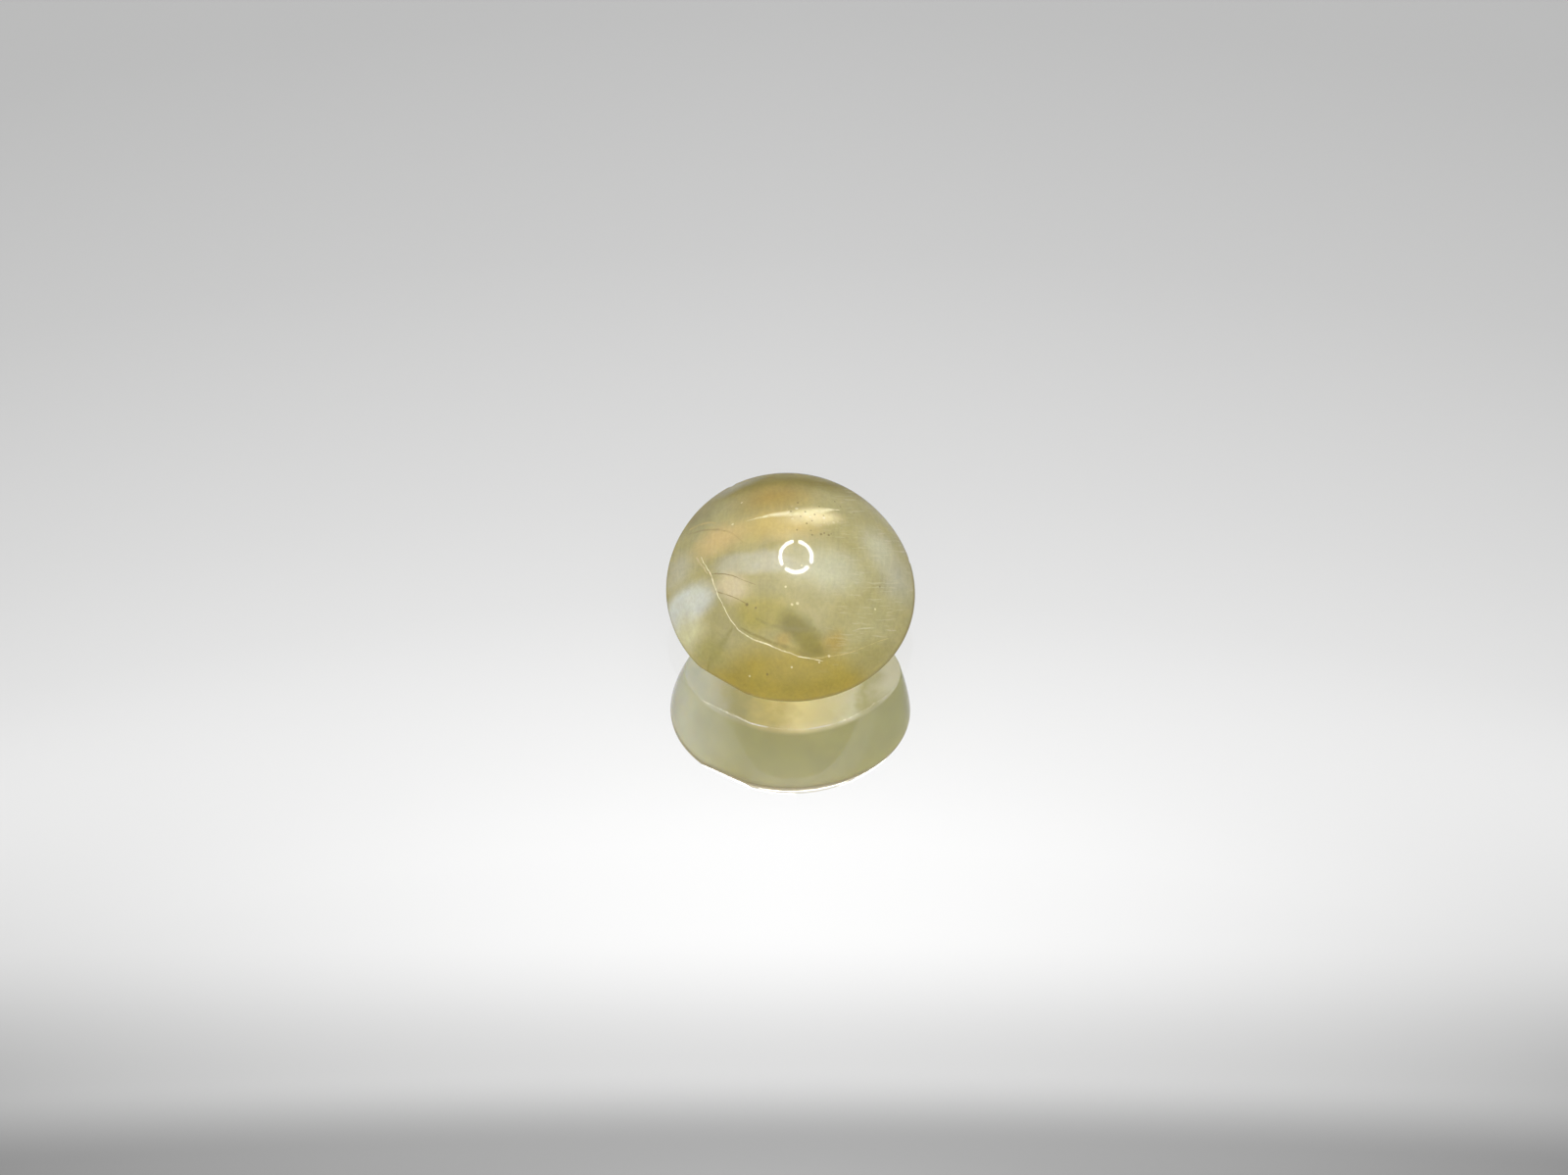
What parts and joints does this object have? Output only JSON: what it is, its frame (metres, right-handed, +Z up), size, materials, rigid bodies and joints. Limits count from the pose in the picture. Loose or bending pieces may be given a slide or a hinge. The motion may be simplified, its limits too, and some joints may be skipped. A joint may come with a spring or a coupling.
{
  "type": "chrysoberyl cabochon",
  "caption": "Polished, nearly round chrysoberyl cabochon: a high leaning dome over a thin uneven girdle and a flared underside ground flat at the foot.",
  "frame": {"origin": "centre of the stone's outline seen from above, in the plane of its flat foot", "axes": "+Z up out of the foot through the dome, +X along the long axis of the oval foot, -Y towards the side where the girdle dips"},
  "size_m": [0.008, 0.008, 0.0035],
  "materials": {
    "chrysoberyl": "translucent milky honey green, polished to a glassy lustre"
  },
  "bodies": {
    "root": {"chrysoberyl_cabochon": "chrysoberyl"}
  },
  "joints": []
}
